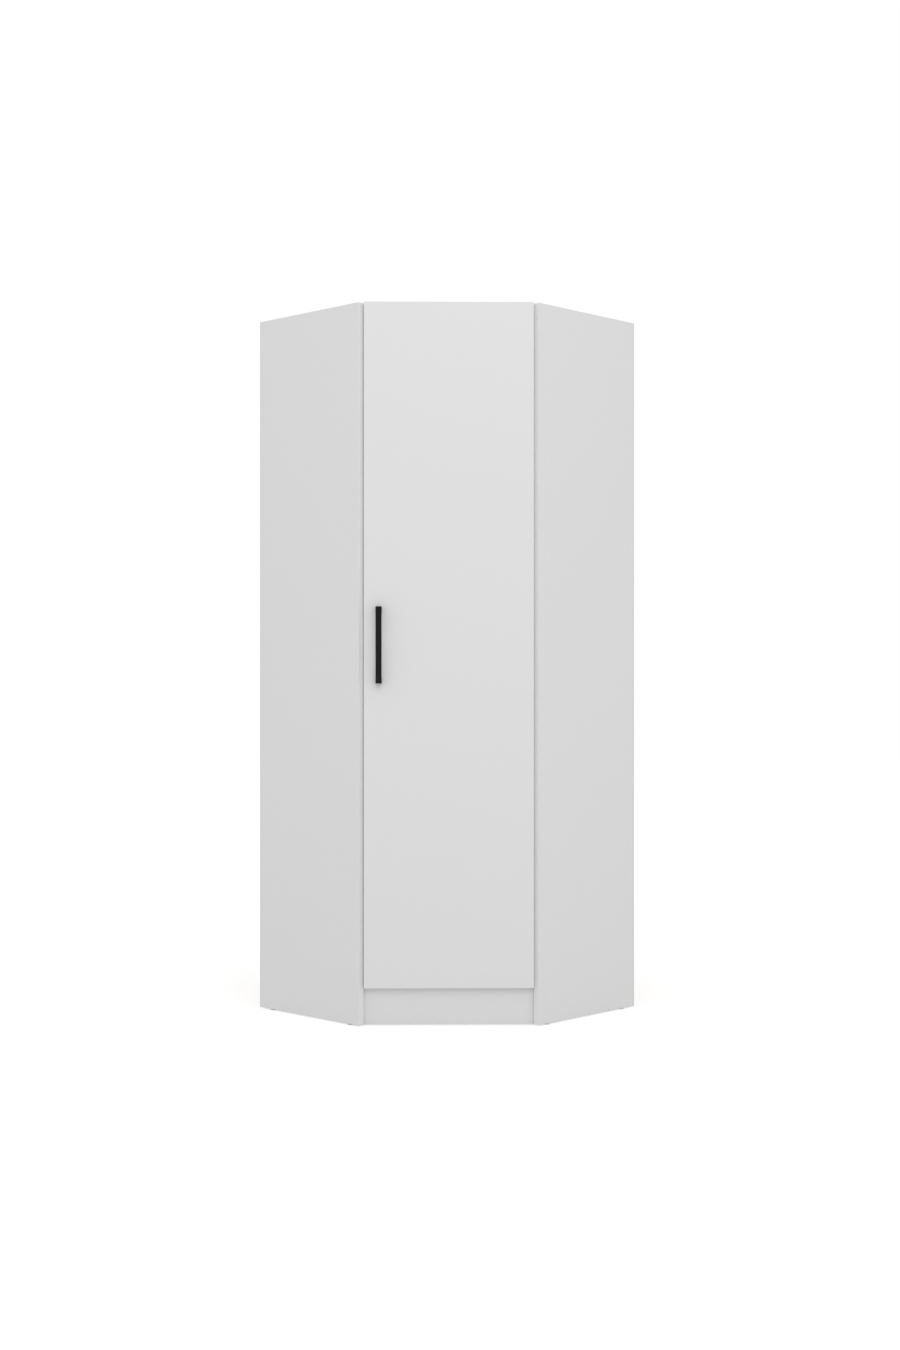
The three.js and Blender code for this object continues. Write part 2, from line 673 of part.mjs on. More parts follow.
// A bar along X over a (y, z) outline.
function lengthwise(outline, x0, x1, hole) {
  const shape = new THREE.Shape(outline.map(([y, z]) => new THREE.Vector2(y, z)));
  if (hole) shape.holes.push(new THREE.Path(hole.map(([y, z]) => new THREE.Vector2(y, z))));
  const geometry = new THREE.ExtrudeGeometry(shape, { depth: x1 - x0, bevelEnabled: false });
  const turn = new THREE.Matrix4().makeBasis(
    new THREE.Vector3(0, 1, 0),
    new THREE.Vector3(0, 0, 1),
    new THREE.Vector3(1, 0, 0),
  );
  geometry.applyMatrix4(turn);
  geometry.translate(x0, 0, 0);
  return solidOf(geometry);
}

function railBracket(sign) {
  const middle = sign * (RAIL_LENGTH / 2 - BRACKET_INSET);
  const near = middle - BRACKET_WIDTH / 2;
  const far = middle + BRACKET_WIDTH / 2;
  const ring = lengthwise(oval(SEAT + BRACKET_STEEL), near, far, oval(SEAT));
  const ringTop = SHELF_UNDER - RAIL_DROP + RAIL_HEIGHT / 2 + SEAT + BRACKET_STEEL;
  const neckHalf = BRACKET_STEEL;
  const neck = block(
    near,
    far,
    RAIL_BACK - neckHalf,
    RAIL_BACK + neckHalf,
    ringTop - BRACKET_STEEL / 2,
    SHELF_UNDER - BRACKET_STEEL / 2,
  );
  const foot = block(
    near,
    far,
    RAIL_BACK - BRACKET_FOOT / 2,
    RAIL_BACK + BRACKET_FOOT / 2,
    SHELF_UNDER - BRACKET_STEEL,
    SHELF_UNDER,
  );
  return join(ring, neck, foot);
}

function railCap(sign) {
  const end = (sign * RAIL_LENGTH) / 2;
  const [faceLow, faceHigh] = ordered(end, 0, sign * CAP);
  const [plugLow, plugHigh] = ordered(end, sign * CAP, -sign * CAP_PLUG);
  const face = lengthwise(oval(0), faceLow, faceHigh);
  const plug = lengthwise(oval(-RAIL_WALL - SEAT), plugLow, plugHigh);
  return join(face, plug);
}

const rail = lengthwise(oval(0), -RAIL_LENGTH / 2, RAIL_LENGTH / 2, oval(-RAIL_WALL));
place(assembly, "hanging_rail", rail, chrome);
SIDES.forEach((side, index) => {
  const sign = 2 * index - 1;
  place(assembly, `rail_bracket_${side}`, railBracket(sign), chrome);
  place(assembly, `rail_cap_${side}`, railCap(sign), plastic);
});

// Soft buffers on the case's front edges stop the door.
const BUFFERS = [
  { name: "door_buffer_top", z: TOP - BUFFER_DROP },
  { name: "door_buffer_bottom", z: BOTTOM_UNDER + BUFFER_DROP },
];
for (const { name, z } of BUFFERS) {
  const x = BUFFER_INSET - DOOR_HALF;
  const buffer = rod([x, BOARD + SEAT, z], [x, FRONT_LINE - SEAT, z], BUFFER_RADIUS, ROUND);
  place(assembly, name, buffer, plastic);
}

export default wardrobe;
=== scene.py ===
# %% [markdown]
# # A white corner wardrobe
#
# The wardrobe is already built as solids: boards, hinges, rail and fittings, each at its real size.
# This lesson dresses that frame. It sets up the camera and the light, gives each board and each
# metal part its finish, rounds the boards' edges a little, and adds the small things that hold a
# flat-packed wardrobe together: screws, nails and the faces of the cam fittings.
# The frame comes first, because every later place is read from it. Blender counts in metres, and
# small sizes are written in millimetres times MM.

# %% Load the frame
import math

import bpy
import numpy as np
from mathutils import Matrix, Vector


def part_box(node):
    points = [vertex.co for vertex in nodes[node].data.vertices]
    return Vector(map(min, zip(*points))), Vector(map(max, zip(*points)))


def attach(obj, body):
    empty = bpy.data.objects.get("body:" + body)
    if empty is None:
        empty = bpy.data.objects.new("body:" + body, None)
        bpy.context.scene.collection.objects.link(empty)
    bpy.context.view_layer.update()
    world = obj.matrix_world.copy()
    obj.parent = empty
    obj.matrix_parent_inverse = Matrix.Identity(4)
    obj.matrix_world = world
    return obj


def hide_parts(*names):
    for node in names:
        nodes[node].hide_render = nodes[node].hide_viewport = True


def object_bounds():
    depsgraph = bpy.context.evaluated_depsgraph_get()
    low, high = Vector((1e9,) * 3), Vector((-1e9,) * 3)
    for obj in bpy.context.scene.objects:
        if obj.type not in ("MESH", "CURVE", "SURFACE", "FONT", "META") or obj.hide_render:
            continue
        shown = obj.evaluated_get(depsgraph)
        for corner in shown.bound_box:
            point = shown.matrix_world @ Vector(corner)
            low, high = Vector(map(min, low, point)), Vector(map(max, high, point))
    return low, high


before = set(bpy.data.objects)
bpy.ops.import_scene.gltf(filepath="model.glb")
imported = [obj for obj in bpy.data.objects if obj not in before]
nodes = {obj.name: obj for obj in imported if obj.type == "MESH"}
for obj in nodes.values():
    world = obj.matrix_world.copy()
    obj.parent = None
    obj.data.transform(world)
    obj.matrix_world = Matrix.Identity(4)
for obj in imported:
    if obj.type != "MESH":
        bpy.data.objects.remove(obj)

MM = 0.001
cad_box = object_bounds()
print("frame:", len(nodes), "solids, box", [round(float(v), 4) for corner in cad_box for v in corner])

# %% [markdown]
# ## The camera
#
# The picture was taken almost square to the door, a little left of its middle and just under half
# of the wardrobe's height. Four vertical edges and their top and bottom ends are enough to work a
# camera out: the distance comes from how much the far edges shrink, and the sideways place from how
# unevenly the two sides show. That gave a lens of 49.1 mm on a 36 mm frame, 4.6 m from the door.
# The camera could be aimed by a constraint, but three distances and a turn say the same plainly.

# %% Camera
DISTANCE = 4.6104
SIDE_STEP = -0.0703
EYE_HEIGHT = 0.8803
TURN = 0.01584
LENS = 49.134
FRAME_HEIGHT = 36.0


def solid_box(name):
    """Lowest and highest corner of a solid, as arrays."""
    low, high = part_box(name)
    return np.array(low), np.array(high)


def into_scene(name, data):
    """A new object in the scene, at the origin."""
    thing = bpy.data.objects.new(name, data)
    bpy.context.scene.collection.objects.link(thing)
    return thing


door_low, door_high = solid_box("door_panel")
camera_data = bpy.data.cameras.new("camera")
camera_data.sensor_fit = "VERTICAL"
camera_data.sensor_height = FRAME_HEIGHT
camera_data.lens = LENS
camera = into_scene("camera", camera_data)
camera.location = (SIDE_STEP, door_low[1] - DISTANCE, EYE_HEIGHT)
camera.rotation_euler = (math.pi / 2, 0, -TURN)
bpy.context.scene.camera = camera
print("camera at", [round(v, 3) for v in camera.location])

# %% [markdown]
# ## Small helpers for node trees
#
# A shader is a tree of nodes. Writing each link out in full hides what the tree does, so a few short
# helpers make a node and wire it in one line. The values of a node are named by its sockets, in the
# words that Blender shows, or by a socket's number where two sockets share a name.

# %% Node helpers
FLOAT = "NodeSocketFloat"
VECTOR = "NodeSocketVector"


def add_node(tree, kind, settings=None, **inputs):
    """Adds a node, sets its options, and fills or links its inputs by name, or by number as `_0`."""
    node = tree.nodes.new(kind)
    for key, value in (settings or {}).items():
        setattr(node, key, value)
    for key, value in inputs.items():
        socket = node.inputs[int(key[1:])] if key[0] == "_" else node.inputs[key.replace("_", " ")]
        if isinstance(value, bpy.types.NodeSocket):
            tree.links.new(value, socket)
        else:
            socket.default_value = value
    return node


def math_node(tree, operation, first, second=0.0, third=0.0):
    """One sum on numbers or sockets."""
    node = add_node(tree, "ShaderNodeMath", {"operation": operation}, _0=first, _1=second, _2=third)
    return node.outputs[0]


def new_group(name, inputs, outputs):
    """An empty shader group; each input is (name, socket type, default)."""
    tree = bpy.data.node_groups.new(name, "ShaderNodeTree")
    for label, kind, default in inputs:
        socket = tree.interface.new_socket(label, in_out="INPUT", socket_type=kind)
        socket.default_value = default
    for label, kind in outputs:
        tree.interface.new_socket(label, in_out="OUTPUT", socket_type=kind)
    return tree, tree.nodes.new("NodeGroupInput"), tree.nodes.new("NodeGroupOutput")


def place_group(tree, group, **inputs):
    """Puts a group into a tree."""
    return add_node(tree, "ShaderNodeGroup", {"node_tree": group}, **inputs)


# %% [markdown]
# ## A white surround
#
# The wardrobe stands in a white studio. A white picture ground is made by what the camera sees, not
# by more light on the object: rays from the camera, and mirror rays, meet plain white, while the
# light that falls on the boards stays at a level where a colour looks as it is written. World and
# floor both need to tell these rays apart, so that is a helper.

# %% World
SURROUND = 0.82
WHITE = (1.0, 1.0, 1.0, 1.0)


def seen_ray(tree):
    """1 for a ray that shows something, directly, in a mirror or through glass, and 0 for the rest."""
    path = tree.nodes.new("ShaderNodeLightPath").outputs
    seen = math_node(tree, "MAXIMUM", path["Is Camera Ray"], path["Is Glossy Ray"])
    return math_node(tree, "MAXIMUM", seen, path["Is Transmission Ray"])


world = bpy.data.worlds.new("studio")
bpy.context.scene.world = world
world.use_nodes = True
tree = world.node_tree
tree.nodes.clear()
fill = add_node(tree, "ShaderNodeBackground", Color=WHITE, Strength=SURROUND)
backdrop = add_node(tree, "ShaderNodeBackground", Color=WHITE, Strength=1.0)
mixed = add_node(tree, "ShaderNodeMixShader", _0=seen_ray(tree), _1=fill.outputs[0],
                 _2=backdrop.outputs[0])
add_node(tree, "ShaderNodeOutputWorld", Surface=mixed.outputs[0])
bpy.context.scene.view_settings.view_transform = "Standard"
print("surround strength", SURROUND)

# %% [markdown]
# ## Floor
#
# The floor is one large pale sheet. Lit like paper it would look grey beside the white surround, and
# a glowing sheet would light the boards from below. So it does two jobs: rays that show it meet a
# grey that glows, which adds up to white and darkens a little where the wardrobe shades it, and
# rays that only carry light meet plain pale paint.

# %% Floor
FLOOR_REACH = 14.0
FLOOR_GREY = 0.80
FLOOR_SEEN = 0.46
FLOOR_GLOW = 0.66


def floor_material():
    """Pale floor that the camera sees as white, with the wardrobe's shadow left in it."""
    material = bpy.data.materials.new("studio_floor")
    material.use_nodes = True
    tree = material.node_tree
    tree.nodes.clear()
    pale = add_node(tree, "ShaderNodeBsdfDiffuse", Color=(FLOOR_GREY, FLOOR_GREY, FLOOR_GREY, 1))
    grey = add_node(tree, "ShaderNodeBsdfDiffuse", Color=(FLOOR_SEEN, FLOOR_SEEN, FLOOR_SEEN, 1))
    glow = add_node(tree, "ShaderNodeEmission", Color=WHITE, Strength=FLOOR_GLOW)
    white = add_node(tree, "ShaderNodeAddShader", _0=grey.outputs[0], _1=glow.outputs[0])
    mixed = add_node(tree, "ShaderNodeMixShader", _0=seen_ray(tree), _1=pale.outputs[0],
                     _2=white.outputs[0])
    add_node(tree, "ShaderNodeOutputMaterial", Surface=mixed.outputs[0])
    return material


corners = [(sx * FLOOR_REACH, sy * FLOOR_REACH, 0.0) for sx, sy in ((-1, -1), (1, -1), (1, 1), (-1, 1))]
floor_mesh = bpy.data.meshes.new("floor")
floor_mesh.from_pydata(corners, [], [(0, 1, 2, 3)])
floor_mesh.materials.append(floor_material())
floor = into_scene("floor", floor_mesh)
print("floor:", 2 * FLOOR_REACH, "m across")

# %% [markdown]
# ## Lamp
#
# The boards are brightest on the door and near the top, and the right side is a shade brighter than
# the left. So one broad lamp hangs in front, above the camera and a little to its right, and the
# surround fills the rest. More lamps would only add shadows that the picture does not show.

# %% Lamp
KEY_PLACE = (0.5, -5.0, 3.9)
KEY_AIM = (0.0, -0.3, 1.2)
KEY_SIZE = 3.0
KEY_POWER = 58

key_data = bpy.data.lights.new("key_lamp", "AREA")
key_data.size = KEY_SIZE
key_data.energy = KEY_POWER
key_lamp = into_scene("key_lamp", key_data)
key_lamp.location = KEY_PLACE
way = np.subtract(KEY_AIM, KEY_PLACE)
tilt = math.atan2(math.hypot(way[0], way[1]), -way[2])
key_lamp.rotation_euler = (tilt, 0, math.atan2(way[1], way[0]) - math.pi / 2)
print("lamp:", KEY_POWER, "watts,", KEY_SIZE, "m across")

# %% [markdown]
# ## Clouds and grain
#
# No factory finish is one flat colour. A coated board has faint clouds in its tone and a skin like
# very fine orange peel, and so, in other sizes, have paint, plating and plastic. What several
# finishes share is made once, as a group with named inputs, and then placed in each material with
# its own values. The groups work on Object coordinates, so a pattern keeps its real size and moves
# with the piece. One noise, slow, serves tone and gloss; a second, quick, is the height of the skin.

# %% Clouds and grain
CLOUD_DETAIL = 3.0
GRAIN_DETAIL = 1.0


def both_ways(tree, noise):
    """Turns a noise in 0..1 into one in -1..1."""
    return math_node(tree, "MULTIPLY_ADD", noise, 2.0, -1.0)


def clouds_and_grain():
    """Tone 1 plus slow noise, roughness plus the same noise, and quick noise as a height."""
    tree, entry, leave = new_group(
        "clouds_and_grain",
        [("Place", VECTOR, (0, 0, 0)), ("Stretch", VECTOR, (1, 1, 1)),
         ("Cloud Size", FLOAT, 0.3), ("Cloud Depth", FLOAT, 0.005),
         ("Grain Size", FLOAT, 0.0008), ("Roughness", FLOAT, 0.4), ("Gloss Depth", FLOAT, 0.03)],
        [("Tone", FLOAT), ("Gloss", FLOAT), ("Grain", FLOAT)])
    taken = entry.outputs
    place = add_node(tree, "ShaderNodeVectorMath", {"operation": "MULTIPLY"},
                     _0=taken["Place"], _1=taken["Stretch"]).outputs[0]
    slow = add_node(tree, "ShaderNodeTexNoise", Vector=place, Detail=CLOUD_DETAIL,
                    Scale=math_node(tree, "DIVIDE", 1.0, taken["Cloud Size"]))
    quick = add_node(tree, "ShaderNodeTexNoise", Vector=place, Detail=GRAIN_DETAIL,
                     Scale=math_node(tree, "DIVIDE", 1.0, taken["Grain Size"]))
    swing = both_ways(tree, slow.outputs["Fac"])
    tone = math_node(tree, "MULTIPLY_ADD", swing, taken["Cloud Depth"], 1.0)
    gloss = math_node(tree, "MULTIPLY_ADD", swing, taken["Gloss Depth"], taken["Roughness"])
    tree.links.new(tone, leave.inputs["Tone"])
    tree.links.new(gloss, leave.inputs["Gloss"])
    tree.links.new(quick.outputs["Fac"], leave.inputs["Grain"])
    return tree


CLOUDS = clouds_and_grain()
print("group:", CLOUDS.name, "with", len(CLOUDS.nodes), "nodes")

# %% [markdown]
# ## The glued edge strip
#
# Where a coated board is sawn, its chips would show, so a thin strip is glued along each edge. It
# comes from another roll than the faces and never quite matches them. The strip could be a piece of
# its own, but it is thinner than a line in the picture. A mask does: it compares the way in which
# the surface faces with the way in which the board is thick. The same mask also carries painted
# light: the strip is painted lighter than its own tone, to lift the shade that falls in the narrow
# grooves between the side panels and the door.

# %% Banded edges
EDGE_BELOW = 0.55
FACE_ABOVE = 0.85


def banded_edge():
    """Mask that is 1 where the surface faces along the board, and 0 on its two broad faces."""
    tree, entry, leave = new_group(
        "banded_edge", [("Facing", VECTOR, (0, 0, 1)), ("Across", VECTOR, (0, 0, 1))],
        [("Mask", FLOAT)])
    dot = add_node(tree, "ShaderNodeVectorMath", {"operation": "DOT_PRODUCT"},
                   _0=entry.outputs["Facing"], _1=entry.outputs["Across"]).outputs["Value"]
    broad = math_node(tree, "ABSOLUTE", dot)
    mask = add_node(tree, "ShaderNodeMapRange", {"clamp": True}, Value=broad,
                    From_Min=EDGE_BELOW, From_Max=FACE_ABOVE, To_Min=1.0, To_Max=0.0)
    tree.links.new(mask.outputs[0], leave.inputs["Mask"])
    return tree


EDGES = banded_edge()
print("group:", EDGES.name, "with", len(EDGES.nodes), "nodes")

# %% [markdown]
# ## Flecks in plated steel
#
# Zinc plating grows as crystals, each of which returns the light a little differently. A Voronoi
# texture deals out one random colour to each cell, and one channel of it shifts that cell's tone. A
# noise would blur the cells into clouds, and the sharp borders are what makes the metal look plated.

# %% Plating flecks
def plating_flecks():
    """Tone that differs from crystal to crystal: 1 plus one random value in each cell."""
    tree, entry, leave = new_group(
        "plating_flecks",
        [("Place", VECTOR, (0, 0, 0)), ("Fleck Size", FLOAT, 0.002), ("Fleck Depth", FLOAT, 0.05)],
        [("Tone", FLOAT)])
    cells = add_node(tree, "ShaderNodeTexVoronoi", Vector=entry.outputs["Place"],
                     Scale=math_node(tree, "DIVIDE", 1.0, entry.outputs["Fleck Size"]))
    parts = add_node(tree, "ShaderNodeSeparateColor", Color=cells.outputs["Color"])
    swing = both_ways(tree, parts.outputs["Red"])
    tone = math_node(tree, "MULTIPLY_ADD", swing, entry.outputs["Fleck Depth"], 1.0)
    tree.links.new(tone, leave.inputs["Tone"])
    return tree


FLECKS = plating_flecks()
print("group:", FLECKS.name, "with", len(FLECKS.nodes), "nodes")

# %% [markdown]
# ## White coated board
#
# The case, the door and the plinth are particle board under a white melamine paper: an even, slightly
# grey white with a soft sheen. Its faces take the clouds and the fine skin, and its edges the strip,
# duller and lighter: lighter partly for its own tone, and partly as painted light that lifts the
# shade in the grooves beside the door. Because the boards stand four ways (along either wall, level,
# and across the front), the same material is made four times, each told which way its board is thick.
# One material with a painted mask would do the same, but it would need a picture; the direction
# needs none. Three more helpers start a material, scale a colour by a tone, and wire what every
# finish here has.

# %% White board materials
DIAGONAL = math.sqrt(0.5)
BOARD_WHITE = 0.76
BOARD_SKIN = dict(Cloud_Size=450 * MM, Cloud_Depth=0.006, Grain_Size=1.1 * MM, Roughness=0.42,
                  Gloss_Depth=0.03)
BOARD_SPECULAR = 0.4
SKIN_DEPTH = 0.004 * MM
# Edge strip tone: partly the strip's own colour, partly painted light against the shade in the door's
# grooves.
BAND_TONE_AND_PAINTED_LIGHT = 1.06
BAND_ROUGHNESS = 0.05


def new_material(name):
    """A material with its Principled shader, and the coordinates of the surface."""
    material = bpy.data.materials.new(name)
    material.use_nodes = True
    tree = material.node_tree
    return material, tree, tree.nodes["Principled BSDF"], tree.nodes.new("ShaderNodeTexCoord").outputs


def scaled_colour(tree, colour, tone):
    """A colour times a tone."""
    return add_node(tree, "ShaderNodeVectorMath", {"operation": "SCALE"}, _0=colour,
                    Scale=tone).outputs[0]


def wire_finish(tree, shader, colour, gloss, grain, depth):
    """Colour, roughness, and a height in 0..1 that stands for `depth` metres, into the shader."""
    bump = add_node(tree, "ShaderNodeBump", Height=grain, Distance=depth, Strength=1.0)
    tree.links.new(colour, shader.inputs["Base Color"])
    tree.links.new(gloss, shader.inputs["Roughness"])
    tree.links.new(bump.outputs[0], shader.inputs["Normal"])


def white_board(name, across):
    """Coated board that is thick along `across`."""
    material, tree, shader, seat = new_material(name)
    skin = place_group(tree, CLOUDS, Place=seat["Object"], **BOARD_SKIN).outputs
    band = place_group(tree, EDGES, Facing=seat["Normal"], Across=across).outputs[0]
    # Painted light: the edge strip's tone is raised here, partly its own colour and partly to lift the
    # shade in the grooves beside the door.
    strip_tone_and_painted_light = math_node(tree, "MULTIPLY_ADD", band, BAND_TONE_AND_PAINTED_LIGHT - 1.0, 1.0)
    tone = math_node(tree, "MULTIPLY", skin["Tone"], strip_tone_and_painted_light)
    white = scaled_colour(tree, (BOARD_WHITE, BOARD_WHITE, BOARD_WHITE), tone)
    gloss = math_node(tree, "MULTIPLY_ADD", band, BAND_ROUGHNESS, skin["Gloss"])
    shader.inputs["Specular IOR Level"].default_value = BOARD_SPECULAR
    wire_finish(tree, shader, white, gloss, skin["Grain"], SKIN_DEPTH)
    return material


ALONG_LEFT = (-DIAGONAL, -DIAGONAL, 0.0)
ALONG_RIGHT = (DIAGONAL, -DIAGONAL, 0.0)
board_left = white_board("white_board_left_wall", ALONG_LEFT)
board_right = white_board("white_board_right_wall", ALONG_RIGHT)
board_level = white_board("white_board_level", (0.0, 0.0, 1.0))
board_front = white_board("white_board_front", (0.0, 1.0, 0.0))
print("boards: white", BOARD_WHITE, "roughness", BOARD_SKIN["Roughness"])

# %% [markdown]
# ## Hardboard backs
#
# Each back is a 3 mm hardboard sheet, lacquered white towards the room inside the case and bare
# brown towards the wall, where the fibres show as short, pressed flecks. The two sides are told
# apart by depth: how far a point lies from the wall's plane, worked out from its coordinates. A
# second material on part of the faces would also do it, but the sheet's own mesh stays untouched.

# %% Hardboard material
BACK_SKIN = 0.4 * MM
FIBRE_BROWN = (0.245, 0.145, 0.078)
FIBRES = dict(Stretch=(1.0, 1.0, 0.35), Cloud_Size=6 * MM, Cloud_Depth=0.22, Grain_Size=1.6 * MM,
              Roughness=0.72, Gloss_Depth=0.06)
FIBRE_DEPTH = 0.06 * MM
LACQUER_WHITE = (0.72, 0.715, 0.70)
LACQUER_CLOUDS = dict(Cloud_Size=300 * MM, Cloud_Depth=0.01)
LACQUER_ROUGHNESS = 0.5
wall_line = cad_box[1][1]


def mixed_colour(tree, share, first, second):
    """Goes from the first colour to the second as the share goes from 0 to 1."""
    node = add_node(tree, "ShaderNodeMix", {"data_type": "RGBA"}, _0=share, _6=first, _7=second)
    return node.outputs[2]


def hardboard():
    """Brown within a thin skin of the wall's plane, white lacquer beyond it."""
    material, tree, shader, seat = new_material("hardboard_back")
    parts = add_node(tree, "ShaderNodeSeparateXYZ", Vector=seat["Object"])
    aside = math_node(tree, "ABSOLUTE", parts.outputs["X"])
    behind = math_node(tree, "SUBTRACT", wall_line, parts.outputs["Y"])
    depth = math_node(tree, "MULTIPLY", math_node(tree, "SUBTRACT", behind, aside), DIAGONAL)
    inside = math_node(tree, "GREATER_THAN", depth, BACK_SKIN)
    fibres = place_group(tree, CLOUDS, Place=seat["Object"], **FIBRES).outputs
    lacquer = place_group(tree, CLOUDS, Place=seat["Object"], **LACQUER_CLOUDS).outputs
    brown = scaled_colour(tree, FIBRE_BROWN, fibres["Tone"])
    white = scaled_colour(tree, LACQUER_WHITE, lacquer["Tone"])
    smoother = LACQUER_ROUGHNESS - FIBRES["Roughness"]
    rough = math_node(tree, "MULTIPLY_ADD", inside, smoother, fibres["Gloss"])
    wire_finish(tree, shader, mixed_colour(tree, inside, brown, white), rough, fibres["Grain"],
                FIBRE_DEPTH)
    return material


back_finish = hardboard()
print("hardboard: wall corner at y", round(float(wall_line), 4))

# %% [markdown]
# ## Black handle
#
# The handle is a bar of cast metal under black powder paint. Powder melts into a closed skin of
# small rounded bumps, about half a millimetre across, that breaks a reflection up, so the handle
# looks nearly matt. In the picture its face is a very dark grey and its bevels are darker still:
# little light comes back from it, so the shader's specular level is turned down as well as its colour.

# %% Handle material
POWDER_BLACK = 0.010
POWDER = dict(Cloud_Size=20 * MM, Cloud_Depth=0.12, Grain_Size=0.6 * MM, Roughness=0.5,
              Gloss_Depth=0.05)
POWDER_DEPTH = 0.02 * MM
POWDER_SPECULAR = 0.09


def powder_paint():
    """Black paint with small bumps and a slow change of gloss."""
    material, tree, shader, seat = new_material("black_powder_paint")
    skin = place_group(tree, CLOUDS, Place=seat["Object"], **POWDER).outputs
    black = scaled_colour(tree, (POWDER_BLACK, POWDER_BLACK, POWDER_BLACK), skin["Tone"])
    shader.inputs["Specular IOR Level"].default_value = POWDER_SPECULAR
    wire_finish(tree, shader, black, skin["Gloss"], skin["Grain"], POWDER_DEPTH)
    return material


handle_finish = powder_paint()
print("handle black", POWDER_BLACK)

# %% [markdown]
# ## Steel and chrome
#
# The hinges, angles and screws are zinc plated: bright grey with small flecks. The cams are cast
# zinc, duller and rougher. The rail is chromed steel tube, almost a mirror, drawn lengthwise, so its
# faint streaks run along it. They differ only in values, so one function makes all four.

# %% Metal materials
STREAKS = dict(Cloud_Size=4 * MM, Cloud_Depth=0.03, Grain_Size=0.8 * MM)
STREAK_SHARE = 0.25
ALL_WAYS = (1.0, 1.0, 1.0)
DRAWN_ALONG = (0.04, 1.0, 1.0)


def plated_metal(name, grey, roughness, fleck_size, fleck_depth, bump, stretch=ALL_WAYS):
    """Metal with flecks in its tone and streaks in its gloss; `stretch` draws the streaks out."""
    material, tree, shader, seat = new_material(name)
    flecks = place_group(tree, FLECKS, Place=seat["Object"], Fleck_Size=fleck_size,
                         Fleck_Depth=fleck_depth).outputs
    streaks = place_group(tree, CLOUDS, Place=seat["Object"], Stretch=stretch, Roughness=roughness,
                          Gloss_Depth=roughness * STREAK_SHARE, **STREAKS).outputs
    tone = math_node(tree, "MULTIPLY", flecks["Tone"], streaks["Tone"])
    shader.inputs["Metallic"].default_value = 1.0
    wire_finish(tree, shader, scaled_colour(tree, grey, tone), streaks["Gloss"], streaks["Grain"], bump)
    return material


zinc_finish = plated_metal("zinc_plated_steel", grey=(0.60, 0.61, 0.63), roughness=0.34,
                           fleck_size=2.2 * MM, fleck_depth=0.06, bump=0.012 * MM)
screw_finish = plated_metal("zinc_plated_screws", grey=(0.66, 0.66, 0.64), roughness=0.28,
                            fleck_size=1.2 * MM, fleck_depth=0.05, bump=0.008 * MM)
cast_finish = plated_metal("cast_zinc", grey=(0.50, 0.51, 0.52), roughness=0.45,
                           fleck_size=1.6 * MM, fleck_depth=0.08, bump=0.02 * MM)
chrome_finish = plated_metal("chromed_steel_tube", grey=(0.78, 0.79, 0.81), roughness=0.12,
                             fleck_size=3 * MM, fleck_depth=0.015, bump=0.002 * MM,
                             stretch=DRAWN_ALONG)
print("metals:", [finish.name for finish in (zinc_finish, screw_finish, cast_finish, chrome_finish)])

# %% [markdown]
# ## Plastic
#
# Glides and rail caps are moulded white plastic, and the door stops are a softer, slightly clear
# kind, into which light sinks a little. A glass shader would make the stops too clear: subsurface
# light in a common shader gives the milky look of a stick-on pad.

# %% Plastic materials
FLOW = dict(Cloud_Size=6 * MM, Cloud_Depth=0.03, Grain_Size=0.5 * MM, Gloss_Depth=0.05)
FLOW_DEPTH = 0.01 * MM
SINK_REACH = 2 * MM


def moulded_plastic(name, colour, roughness, soft):
    """Plastic with faint flow clouds and a matt skin; `soft` lets light sink in a little."""
    material, tree, shader, seat = new_material(name)
    skin = place_group(tree, CLOUDS, Place=seat["Object"], Roughness=roughness, **FLOW).outputs
    shader.inputs["Subsurface Weight"].default_value = soft
    shader.inputs["Subsurface Radius"].default_value = (SINK_REACH, SINK_REACH, SINK_REACH)
    wire_finish(tree, shader, scaled_colour(tree, colour, skin["Tone"]), skin["Gloss"], skin["Grain"],
                FLOW_DEPTH)
    return material


plastic_finish = moulded_plastic("white_moulded_plastic", colour=(0.70, 0.70, 0.68), roughness=0.45,
                                 soft=0.0)
stop_finish = moulded_plastic("soft_clear_plastic", colour=(0.62, 0.64, 0.64), roughness=0.3, soft=0.3)
print("materials:", len(bpy.data.materials))

# %% [markdown]
# ## Giving each board and fitting its finish
#
# The frame's solids keep their shape and only get a material. Their names say what they are, so a
# short table of name beginnings is enough. The first beginning that fits is taken, which lets the
# few special cases stand before the general ones.

# %% Finishes by name
FINISHES = {
    "side_panel_left": board_left, "side_panel_right": board_right, "rear_stile": board_right,
    "door_panel": board_front, "plinth_board": board_front,
    "top_panel": board_level, "bottom_panel": board_level, "hat_shelf": board_level,
    "back_sheet": back_finish,
    "handle_screw": screw_finish, "handle": handle_finish,
    "cam_": cast_finish, "hinge_": zinc_finish, "stile_angle": zinc_finish,
    "plinth_bracket": zinc_finish,
    "hanging_rail": chrome_finish, "rail_bracket": chrome_finish,
    "rail_cap": plastic_finish, "glide": plastic_finish, "door_buffer": stop_finish,
}


def first_match(table, name):
    """What the table gives for the first beginning that the name has."""
    return next(value for start, value in table.items() if name.startswith(start))


for name, node in nodes.items():
    node.material_slots[0].material = first_match(FINISHES, name)
print("finished solids:", len(nodes))

# %% [markdown]
# ## Softened edges and smooth curves
#
# A sawn and banded board never ends in a perfect corner: the strip is trimmed to a radius of well
# under a millimetre, and that thin rounding is what catches light along an edge. The solids come as
# loose triangles with sharp corners and fixed normals. A small geometry tree drops those normals,
# welds the triangles, marks flat and curved parts for shading, and writes a weight on the long, real
# edges only, so that a Bevel after it rounds those and leaves the bores alone. Modelling the
# rounding into the solids would cost thousands of triangles that the physics never needs.

# %% Shading tree
WELD_REACH = 0.01 * MM
CURVE_ANGLE = math.radians(35)


